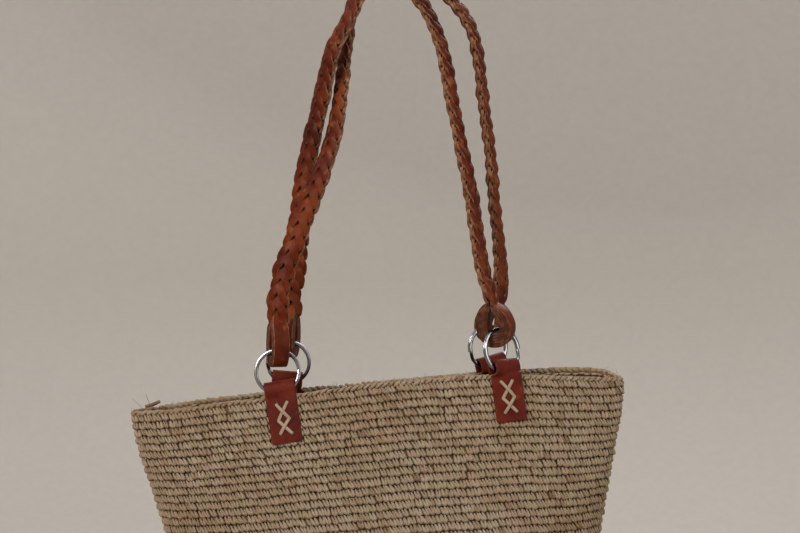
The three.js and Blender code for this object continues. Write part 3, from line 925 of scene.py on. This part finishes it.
def makeTab(name):
    place = places[name]
    line = tabLine(place["rise"], tab["rows"] + 1)
    half = tabSizes["width"] / 2

    def position(u, v):
        index = np.rint(v * tab["rows"]).astype(int)
        slide = (u - 0.5) * 2
        end = np.minimum(index, tab["rows"] - index) / tab["rows"] * 100
        narrow = np.where(end < 2, (2 - end) * 0.035, 0)
        x = slide * half * (1 - narrow * np.abs(slide))
        wave = 0.25 * np.sin(index * 0.31 + place["rise"]) * (1 - np.abs(slide))
        points = np.stack([x, line[index, 0] * (1 + 0.02 * wave), line[index, 1]], -1)
        return moved(place["tab"], twistAbout(points, place)) * mm

    piece = addGrid(f"tab_{name}_leather", tab["columns"], tab["rows"], position, closed=False)
    giveMaterials(piece, tabLeather, dyedEdge)
    applyModifier(
        piece, "SOLIDIFY", thickness=tabSizes["leather"] * mm, offset=0.0, material_offset_rim=1,
        use_even_offset=True,
    )
    applyModifier(piece, "BEVEL", width=tab["bevel"] * mm, segments=2, limit_method="ANGLE")
    weld(piece)
    smoothPiece(piece, 50)
    return settle(piece, "tab_leather", f"tab_{name}")


def makeRibbon(start, end, out, over):
    # a flat strand of raffia from hole to hole, which rises over the strand that it crosses
    steps = tab["ribbonSteps"]
    bury, lift = out * tab["ribbonBury"], out * tab["ribbonLift"]
    middle = (start + end) / 2 + out * (tab["ribbonRise"] + over)
    line = smoothLine([start - bury, start + lift, middle, end + lift, end - bury], steps + 1)
    forward = np.gradient(line, axis=0)
    forward /= np.linalg.norm(forward, axis=1, keepdims=True)
    across = np.cross(forward, out)
    across /= np.linalg.norm(across, axis=1, keepdims=True)
    normal = np.cross(across, forward)

    def place(u, v):
        index = np.rint(v * steps).astype(int)
        angle = u * 2 * math.pi
        pinch = np.where((index > 0) & (index < steps), 1.0, 0.0)
        width = tab["ribbonWidth"] * (0.8 + 0.25 * np.sin(math.pi * index / steps))
        flat = np.sign(np.cos(angle)) * np.abs(np.cos(angle)) ** 0.6
        wide = flat * pinch * width
        thick = np.sin(angle) * pinch * tab["ribbonThickness"]
        return (line[index] + across[index] * wide[:, None] + normal[index] * thick[:, None]) * mm

    return addGrid("ribbon", tab["ribbonAround"], steps, place)


def makePits(name, spots):
    parts = []
    for centre, out, along in spots:
        side = np.cross(out, along)

        def place(u, v):
            angle = u * 2 * math.pi
            radius = tab["pit"] * (1 - v)
            dip = -0.35 * (1 - (1 - v) ** 2) + 0.1
            return (
                centre + along * (np.cos(angle) * radius)[:, None] * 0.85
                + side * (np.sin(angle) * radius)[:, None] + out * dip[:, None]
            ) * mm

        parts.append(addGrid("pit", 12, 3, place))
    piece = joinAll(name, parts)
    # the discs carry painted shade for the dark inside of each hole
    giveMaterials(piece, stitchHoleShade)
    smoothPiece(piece)
    return settle(piece, "tab_leather")


def makeCrosses(name):
    place = places[name]
    ribbons, pits = [], []
    for leaf in (-1, 1):
        out = np.array(place["tab"].to_3x3() @ Vector((0, leaf, 0)))
        along = np.array(place["tab"].to_3x3() @ Vector((0, 0, 1)))
        spots = [
            {
                side: leafPoint(
                    place, side * tab["holeAcross"] * chance.uniform(0.92, 1.08),
                    place["rise"] - down + chance.uniform(-0.6, 0.6), 0, leaf,
                )
                for side in (-1, 1)
            }
            for down in tab["holeRows"]
        ]
        pits += [(spot, out, along) for row in spots for spot in row.values()]
        for order in range(len(spots) - 1):
            high, low = spots[order], spots[order + 1]
            first = 1 if order == 0 else -1  # the strand that lies under
            ribbons.append(makeRibbon(high[first], low[-first], out, 0.0))
            ribbons.append(makeRibbon(high[-first], low[first], out, tab["ribbonOver"]))
    makePits(f"tab_{name}_holes", pits)
    piece = joinAll(f"tab_{name}_crosses", ribbons)
    tones = np.full(len(piece.data.vertices), 0.78)
    size = len(tones) // len(ribbons)
    for index in range(len(ribbons)):
        tones[index * size:(index + 1) * size] = chance.uniform(0.6, 0.9)
    setTone(piece, tones)
    giveMaterials(piece, raffia)
    smoothPiece(piece)
    return settle(piece, "raffia")


for cornerName in corners:
    makeTab(cornerName)
    makeCrosses(cornerName)
print("tabs made")


# split rings

ringShape = {"around": 12, "steps": 150, "softness": 0.62, "closeness": 0.8}


def makeRing(name):
    sizes = ringSizes
    crank = math.radians(sizes["crank"])
    rest = math.radians(sizes["rest"])
    steps = ringShape["steps"]
    radius = (sizes["diameter"] - sizes["wireWidth"]) / 2
    side = (sizes["wireThickness"] + sizes["gap"]) / 2

    def place(u, v):
        index = np.rint(v * steps)
        inner = np.clip(index - 1, 0, steps - 2) / (steps - 2)
        pinch = np.where((index > 0) & (index < steps), 1.0, 0.0)
        turn = inner * (4 * math.pi - crank - 2 * rest)
        t = np.clip((turn - (2 * math.pi - rest - crank)) / crank, 0, 1)
        shift = side * (2 * t * t * (3 - 2 * t) - 1)
        angle = u * 2 * math.pi
        soft = ringShape["softness"]
        wide = np.sign(np.cos(angle)) * np.abs(np.cos(angle)) ** soft
        wide = wide * pinch * sizes["wireWidth"] / 2
        thick = np.sign(np.sin(angle)) * np.abs(np.sin(angle)) ** soft * pinch
        thick = thick * (sizes["wireThickness"] + sizes["gap"] * ringShape["closeness"]) / 2
        points = np.stack(
            [(radius + wide) * np.cos(turn), shift + thick, (radius + wide) * np.sin(turn)], -1,
        )
        return moved(places[name]["ring"], points) * mm

    piece = addGrid(f"ring_{name}_metal", ringShape["around"], steps, place)
    giveMaterials(piece, ringMetal)
    smoothPiece(piece, 50)
    return settle(piece, "ring_metal", f"ring_{name}")


for cornerName in corners:
    makeRing(cornerName)
print("rings made")


# end loops: straps in layers, bent round the ring

loopShape = {
    "layers": 4, "steps": 64, "gap": 0.14, "edge": 0.4, "neckWidth": 0.52, "bottom": 0.33,
    # the loop's inner and outer line from the neck to the bottom: from the middle as a share
    # of half the outer width, and height as a share of the way from the hole's edge to the neck
    "inner": [
        (0.02, 1.0), (0.025, 0.86), (0.03, 0.72), (0.14, 0.6), (0.27, 0.42), (0.35, 0.22), (0.35, 0.07),
        (0.22, 0.0), (0.0, 0.0),
    ],
    "outer": [
        (0.14, 1.0), (0.18, 0.88), (0.32, 0.8), (0.62, 0.68), (0.86, 0.52), (1.0, 0.28), (0.97, 0.08),
        (0.8, -0.12), (0.45, -0.29), (0.0, -0.33),
    ],
}


def makeLoop(name):
    corner = corners[name]
    place = places[name]
    top = corner["loop"] * tabSizes["length"] - loopSizes["band"] + loopSizes["neckReach"]
    half = loopSizes["hole"] / 2 + loopSizes["band"]
    steps = loopShape["steps"]
    depth = loopSizes["band"] / loopShape["bottom"]

    def halfLine(table):
        points = []
        for across, up in table:
            points.append((across * half, up * top if up > 0 else up * depth))
        return points

    def fullLine(table):
        points = halfLine(table)
        other = [(-y, z) for y, z in reversed(points[:-1])]
        return smoothLine(points + other, steps + 1)

    inner, outer = fullLine(loopShape["inner"]), fullLine(loopShape["outer"])
    parts = []
    layers = loopShape["layers"]
    for layer in range(layers):
        share = (layer + 0.5) / layers
        line = inner + (outer - inner) * share
        reach = np.linalg.norm(outer - inner, axis=1) / layers / 2 - loopShape["gap"] / 2
        forward = np.gradient(line, axis=0)
        forward /= np.linalg.norm(forward, axis=1, keepdims=True)
        outwards = np.stack([forward[:, 1], -forward[:, 0]], -1)
        if np.sum(outwards * (outer - inner)) < 0:
            outwards = -outwards
        edge = loopShape["edge"]

        def position(u, v):
            index = np.rint(v * steps).astype(int)
            step = np.rint(u * 8).astype(int) % 8
            # eight corners of a strap's section, its edges broken by a small chamfer
            wideSign = np.array([-1, -1, -1, 1, 1, 1, 1, -1])[step]
            thickSign = np.array([-1, 1, 1, 1, 1, -1, -1, -1])[step]
            wideCut = np.array([0, 0, 1, 1, 0, 0, 1, 1])[step]
            thickCut = 1 - wideCut
            neck = np.clip((line[index, 1] / top - 0.62) / 0.38, 0, 1)
            width = loopSizes["width"] / 2 * (1 - neck * (1 - loopShape["neckWidth"]))
            wide = wideSign * (width - wideCut * edge)
            thick = thickSign * np.maximum(reach[index] - thickCut * edge * 0.6, 0.1)
            pinch = np.where((index > 0) & (index < steps), 1.0, 0.0)
            y = line[index, 0] + outwards[index, 0] * thick * pinch
            z = line[index, 1] + outwards[index, 1] * thick * pinch
            return moved(place["loop"], np.stack([wide * pinch, y, z], -1)) * mm

        parts.append(addGrid("strap", 8, steps, position))
    piece = joinAll(f"loop_{name}_straps", parts)
    giveMaterials(piece, braidLeather, dyedEdge, rawEdge)
    hole = np.array(place["loop"].to_3x3() @ Vector((1, 0, 0)))
    for face in piece.data.polygons:
        sideways = abs(float(np.dot(hole, face.normal)))
        if sideways > 0.9:
            face.material_index = 1
        elif sideways > 0.4:
            face.material_index = 2  # the strap's broken edge, worn pale
    smoothPiece(piece, 35)
    return settle(piece, "braid_leather", f"loop_{name}")


for cornerName in corners:
    makeLoop(cornerName)
print("loops made")


# braided handles: folded links, each pushed through the slot of the one before

link = {
    "steps": 36, "columns": 3, "leather": 2.6, "bevel": 0.4,
    # forward along the braid and across it, from the point of the slot
    "slot": [
        (0.0, 0.0), (-1.7, 1.1), (-3.7, 2.3), (-5.9, 3.4), (-7.9, 3.6), (-9.2, 2.2), (-9.5, 0.0),
        (-9.2, -2.2), (-7.9, -3.6), (-5.9, -3.4), (-3.7, -2.3), (-1.7, -1.1),
    ],
    "outline": [
        (12.6, 0.0), (9.6, 2.3), (5.6, 4.6), (0.8, 6.6), (-4.8, 9.0), (-10.6, 8.1), (-13.4, 0.0),
        (-10.6, -8.1), (-4.8, -9.0), (0.8, -6.6), (5.6, -4.6), (9.6, -2.3),
    ],
    # height over the braid's middle plane along it
    "height": [
        (-14.0, 1.1), (-10.0, 1.7), (-6.5, 2.9), (-3.0, 3.85), (0.0, 4.2), (3.0, 3.4), (5.5, 2.3),
        (7.5, 1.5), (9.8, 0.9), (12.6, 0.5),
    ],
    "droop": 0.038, "flat": 1.2, "wrap": 1.6, "stagger": 0.26,
    "shift": 0.3, "swell": 0.05, "lean": 0.03, "core": (3.4, 1.5),
    "coreSteps": 160, "first": 0.62, "bevelAngle": 0.9,
}


def faceTurn(handle, along):
    share = readTable(braidTurn, along, handle["turnColumn"])
    first, last = places[handle["left"]]["loopTurn"], places[handle["right"]]["loopTurn"]
    return first + (last - first) * share


def handleRoute(handle):
    # the handle's middle line: hook, legs and straight ends over the loops
    left, right = places[handle["left"]], places[handle["right"]]
    turn = float(faceTurn(handle, 0.5))
    lift = math.hypot(
        braidSizes["width"] / 2 * math.cos(turn), braidSizes["thickness"] / 2 * math.sin(turn),
    )
    hook = np.array([0.0, handle["hookSide"] * braidSizes["spread"], lift])
    clear, pitch = braidSizes["clearance"], braidSizes["pitch"]
    start = [np.array(left["top"] + left["loopUp"] * rise) for rise in (clear, clear + pitch)]
    end = [np.array(right["top"] + right["loopUp"] * rise) for rise in (clear + pitch, clear)]

    def leg(rows, foot):
        return [
            np.array([
                foot[0] * across, hook[1] + (foot[1] - hook[1]) * depth,
                hook[2] + (foot[2] - hook[2]) * down,
            ])
            for down, across, depth in rows
        ]

    leftLeg, rightLeg = leg(handle["leftLeg"], start[0]), leg(handle["rightLeg"], end[1])
    points = np.array([*start, *reversed(leftLeg), hook, *rightLeg, *end])
    padded = np.concatenate([[2 * points[0] - points[1]], points, [2 * points[-1] - points[-2]]])
    line = []
    for index in range(len(points) - 1):
        a, b, c, d = padded[index:index + 4]
        before, here, after = [np.linalg.norm(q - p) ** 0.5 for p, q in ((a, b), (b, c), (c, d))]
        first = ((b - a) / before - (c - a) / (before + here) + (c - b) / here) * here
        second = ((c - b) / here - (d - b) / (here + after) + (d - c) / after) * here
        for t in np.linspace(0, 1, 60, endpoint=False):
            line.append(
                b + t * first + t ** 2 * (3 * (c - b) - 2 * first - second)
                + t ** 3 * (first + second - 2 * (c - b))
            )
    line.append(points[-1])
    line = np.array(line)
    run = np.concatenate([[0], np.cumsum(np.linalg.norm(np.diff(line, axis=0), axis=1))])
    return line, run, handle


def bendAlong(route, forward, across, out):
    # from the braid's own run, width and height to its place on the handle
    line, run, handle = route
    at = np.clip(forward, 0, run[-1])
    point = np.stack([np.interp(at, run, line[:, k]) for k in range(3)], -1)
    slope = np.gradient(line, axis=0)
    slope /= np.linalg.norm(slope, axis=1, keepdims=True)
    tangent = np.stack([np.interp(at, run, slope[:, k]) for k in range(3)], -1)
    tangent /= np.linalg.norm(tangent, axis=1, keepdims=True)
    point = point + tangent * (forward - at)[:, None]
    flat = np.array([0.0, -1, 0]) + tangent * tangent[:, 1:2]
    flat /= np.linalg.norm(flat, axis=1, keepdims=True)
    turn = -faceTurn(handle, at / run[-1])
    sideways = np.cross(tangent, flat)
    face = flat * np.cos(turn)[:, None] + sideways * np.sin(turn)[:, None]
    width = np.cross(tangent, face)
    return point + width * across[:, None] + face * out[:, None]


def makeLink():
    # one half of a folded link as a flat ring round its slot, with the shape of its lie
    steps, columns = link["steps"], link["columns"]
    slot = smoothLine(link["slot"], steps, closed=True)
    outline = smoothLine(link["outline"], steps, closed=True)
    parts = []
    for side in (1, -1):
        def place(u, v):
            index = np.rint(v * steps).astype(int) % steps
            flat = slot[index] + (outline[index] - slot[index]) * u[:, None]
            forward, across = flat[:, 0], flat[:, 1]
            out = readTable(link["height"], forward, 1)
            out = out - link["droop"] * across ** 2 * np.clip(out / 4, 0, 1)
            beside = np.clip((np.abs(across) - 5) / 4, 0, 1)
            lowest = np.where(forward > 4.5, 0.3, link["flat"] - link["wrap"] * beside)
            back = link["stagger"] * braidSizes["pitch"] if side < 0 else 0.0
            return np.stack([forward - back, across, np.maximum(out, lowest) * side], -1)

        half = addGrid("linkHalf", columns, steps, place, closed=False)
        weld(half, 1e-4)
        parts.append(half)
    piece = joinAll("link", parts)
    giveMaterials(piece, braidLeather, rawEdge)
    applyModifier(
        piece, "SOLIDIFY", thickness=link["leather"], offset=0.0, material_offset_rim=1,
    )
    return piece


def makeCore(route, total):
    # the folded ends inside the braid, seen dark through the slots
    steps = link["coreSteps"]
    width, height = link["core"]

    def place(u, v):
        index = np.rint(v * steps).astype(int)
        pinch = np.where((index > 0) & (index < steps), 1.0, 0.0)
        angle = u * 2 * math.pi
        return bendAlong(
            route, total * (0.01 + 0.98 * v),
            np.cos(angle) * pinch * width, np.sin(angle) * pinch * height,
        ) * mm

    core = addGrid("core", 8, steps, place)
    giveMaterials(core, braidLeather, rawEdge)
    return core


def makeHandle(name, template):
    handle = handles[name]
    route = handleRoute(handle)
    total = route[1][-1]
    count = round((total + 2) / braidSizes["pitch"])
    pitch = total / count
    piece = makeSheet(f"handle_{name}_braid", template, count, 1)
    size = len(template.data.vertices)
    local = placesOf(piece).reshape(count, size, 3)
    local[..., 0] -= sheetStep * np.arange(count)[:, None]
    start = (np.arange(count) + link["first"])[:, None] * pitch
    swell = 1 + dice.normal(0, link["swell"], (count, 1))
    lean = dice.normal(0, link["lean"], (count, 1))
    forward = start + local[..., 0] * pitch / braidSizes["pitch"] + lean * local[..., 1]
    across = local[..., 1] * swell + dice.normal(0, link["shift"], (count, 1))
    out = local[..., 2] * swell
    setPlaces(piece, bendAlong(route, forward.ravel(), across.ravel(), out.ravel()) * mm)
    applyModifier(
        piece, "BEVEL", width=link["bevel"] * mm, segments=2, limit_method="ANGLE",
        angle_limit=link["bevelAngle"],
    )
    piece = joinAll(f"handle_{name}_braid", [piece, makeCore(route, total)])
    smoothPiece(piece, 48)
    return settle(piece, "braid_leather", f"handle_{name}")


linkTemplate = makeLink()
for handleName in handles:
    makeHandle(handleName, linkTemplate)
bpy.data.objects.remove(linkTemplate)
print("handles made")


# loose raffia: short fibres on the wall and the frayed ends at the left corner of the rim

fibres = {
    "count": 150, "length": (6, 14), "width": 0.16, "steps": 5,
    # frayed ends at the left corner of the rim: from, to, thickness
    "tufts": [
        ((-212.5, -0.5, -352.2), (-195.5, 0.0, -349.6), 1.5),
        ((-203.0, 1.0, -348.4), (-190.5, 1.0, -344.0), 1.25),
    ],
    "tuftStrands": 7, "tuftTurns": 1.6, "tuftSteps": 22,
    # single hairs beside them: from, way, length
    "hairs": [
        ((-205.0, 0.0, -349.5), (-0.86, 0.1, 0.5), 13), ((-199.0, 1.0, -346.5), (-0.5, 0.1, 0.86), 10),
    ],
    "hairWidth": 0.2, "rimShare": 0.3, "rimLength": 0.6,
}


def makeFibre(start, way, out, length, width):
    steps = fibres["steps"]
    bend = np.array([chance.uniform(-0.5, 0.5) for k in range(3)])
    line = smoothLine([
        start - out * 1.0, start + way * length * 0.3 + out * length * 0.12,
        start + way * length * 0.65 + (out * 0.22 + bend * 0.12) * length,
        start + way * length + (out * 0.18 + bend * 0.35) * length,
    ], steps + 1)
    forward = np.gradient(line, axis=0)
    forward /= np.linalg.norm(forward, axis=1, keepdims=True)
    side = np.cross(forward, out)
    side /= np.linalg.norm(side, axis=1, keepdims=True)
    normal = np.cross(side, forward)

    def place(u, v):
        index = np.rint(v * steps).astype(int)
        angle = u * 2 * math.pi
        pinch = np.where((index > 0) & (index < steps), 1 - 0.5 * index / steps, 0.0) * width
        return (
            line[index] + side[index] * (np.cos(angle) * pinch * 1.6)[:, None]
            + normal[index] * (np.sin(angle) * pinch)[:, None]
        ) * mm

    return addGrid("fibre", 3, steps, place)


def makeTuftStrand(start, end, thickness, strand):
    # one of the strands twisted into a frayed end, thinning towards its tip
    steps = fibres["tuftSteps"]
    middle = (start + end) / 2 + np.array([0.0, 0, -0.6])
    line = smoothLine([start, middle, end], steps + 1)
    forward = np.gradient(line, axis=0)
    forward /= np.linalg.norm(forward, axis=1, keepdims=True)
    side = np.cross(forward, np.array([0.0, 0, 1]))
    side /= np.linalg.norm(side, axis=1, keepdims=True)
    normal = np.cross(side, forward)
    share = np.linspace(0, 1, steps + 1)
    count = fibres["tuftStrands"]
    angle = 2 * math.pi * (strand / count + fibres["tuftTurns"] * share) + chance.uniform(-0.3, 0.3)
    swell = thickness * (0.35 + 0.5 * np.sin(math.pi * (0.12 + 0.72 * share)) + chance.uniform(-0.06, 0.06))
    spread = swell * (1 + 0.8 * np.clip(0.16 - share, 0, 1) * chance.uniform(0, 6))
    line = line + side * (np.cos(angle) * spread)[:, None] + normal * (np.sin(angle) * spread)[:, None]

    def place(u, v):
        index = np.rint(v * steps).astype(int)
        turn = u * 2 * math.pi
        pinch = np.where((index > 0) & (index < steps), 0.42, 0.0) * thickness
        return (
            line[index] + side[index] * (np.cos(turn) * pinch)[:, None]
            + normal[index] * (np.sin(turn) * pinch)[:, None]
        ) * mm

    return addGrid("tuftStrand", 5, steps, place)


def makeFibres():
    parts = []
    for index in range(fibres["count"]):
        share = np.array([chance.random()])
        rim = chance.random() < fibres["rimShare"]
        climb = np.array([outerWall["run"] - (0.5 if rim else chance.uniform(3, 285))])
        start = onLattice(outerWall, share, climb, np.array([0.6]))[0]
        out = onLattice(outerWall, share, climb, np.array([1.6]))[0] - start
        near = onLattice(outerWall, share + 0.002, climb, np.array([0.6]))[0] - start
        near /= np.linalg.norm(near)
        up = np.cross(out, near)
        angle = chance.uniform(0, 2 * math.pi)
        way = near * math.cos(angle) + up * math.sin(angle)
        if rim:
            way = np.array([0.0, 0, 1]) * 0.7 + near * chance.uniform(-0.8, 0.8)
        length = chance.uniform(*fibres["length"]) * (fibres["rimLength"] if rim else 1)
        parts.append(makeFibre(start, way, out, length, fibres["width"]))
    for start, way, length in fibres["hairs"]:
        out = np.array([0.0, -0.6, 0.8])
        parts.append(makeFibre(np.array(start), np.array(way), out, length, fibres["hairWidth"]))
    plain = len(parts)
    for start, end, thickness in fibres["tufts"]:
        for strand in range(fibres["tuftStrands"]):
            parts.append(makeTuftStrand(np.array(start), np.array(end), thickness, strand))
    tones = dice.uniform(0.35, 0.95, len(parts))
    tones[plain:] = dice.uniform(0.0, 0.3, len(parts) - plain)
    sizes = [len(part.data.vertices) for part in parts]
    piece = joinAll("loose_fibres", parts)
    setTone(piece, np.repeat(tones, sizes))
    giveMaterials(piece, raffia)
    smoothPiece(piece)
    return settle(piece, "raffia")


makeFibres()
print("fibres made")


# stage, light and camera

stage = {
    "floor": -0.86, "radius": 2.3, "bend": 0.6, "top": 1.7, "color": (0.4, 0.365, 0.325),
    "world": (0.88, 0.93, 1.0), "worldStrength": 1.08,
    "lights": [
        ("key", (-1.1, -1.5, 0.75), 1.1, 49, (1.0, 0.97, 0.92)),
        ("fill", (1.5, -1.2, 0.2), 1.5, 20, (0.94, 0.97, 1.0)),
        ("rear", (0.4, 1.5, 0.9), 1.4, 23, (1.0, 0.98, 0.95)),
    ],
}


def makeStage():
    bend, radius = stage["bend"], stage["radius"]
    profile = [(0.001, stage["floor"]), (radius * 0.4, stage["floor"]), (radius - bend, stage["floor"])]
    for angle in np.linspace(0.2, math.pi / 2, 8):
        rise = bend * (1 - math.cos(angle))
        profile.append((radius - bend + bend * math.sin(angle), stage["floor"] + rise))
    profile += [(radius, 0.4), (radius, stage["top"])]
    profile = np.array(profile)
    rows = len(profile) - 1

    def place(u, v):
        index = np.rint(v * rows).astype(int)
        angle = -u * 2 * math.pi
        r = profile[index, 0]
        return np.stack([r * np.cos(angle), r * np.sin(angle), profile[index, 1]], -1)

    bowl = addGrid("studio_bowl", 96, rows, place, closed=False)
    material, nodes, links = newMaterial("studioPaint")
    shader = nodes["Principled BSDF"]
    coordinates = nodes.new("ShaderNodeTexCoord").outputs["Object"]
    grain = addNoise(nodes, links, coordinates, 60, 4)
    low = tuple(0.96 * c for c in stage["color"])
    links.new(addRamp(nodes, links, grain, [(0.3, low), (0.7, stage["color"])]), shader.inputs["Base Color"])
    shader.inputs["Roughness"].default_value = 0.95
    giveMaterials(bowl, material)
    smoothPiece(bowl)


def makeLights():
    target = Vector((0, 0, -0.28))
    for name, position, size, power, color in stage["lights"]:
        data = bpy.data.lights.new(name, "AREA")
        data.shape = "DISK"
        data.size = size
        data.energy = power
        data.color = color
        lamp = bpy.data.objects.new(name, data)
        bpy.context.scene.collection.objects.link(lamp)
        lamp.location = position
        lamp.rotation_euler = (target - Vector(position)).to_track_quat("-Z", "Y").to_euler()
        lamp.visible_camera = False
    world = bpy.data.worlds.new("studio")
    world.use_nodes = True
    background = world.node_tree.nodes["Background"]
    background.inputs["Color"].default_value = (*stage["world"], 1)
    background.inputs["Strength"].default_value = stage["worldStrength"]
    bpy.context.scene.world = world


view = {"place": (0.008, -1.18, -0.2325), "lens": 64.2}


def makeCamera():
    data = bpy.data.cameras.new("photoView")
    data.lens = view["lens"]
    data.sensor_width = 36
    data.clip_start = 0.05
    data.clip_end = 20
    camera = bpy.data.objects.new("photoView", data)
    bpy.context.scene.collection.objects.link(camera)
    camera.location = view["place"]
    camera.rotation_euler = (math.pi / 2, 0, 0)
    bpy.context.scene.camera = camera
    bpy.context.scene.view_settings.view_transform = "Standard"


makeStage()
makeLights()
makeCamera()
print("stage made")
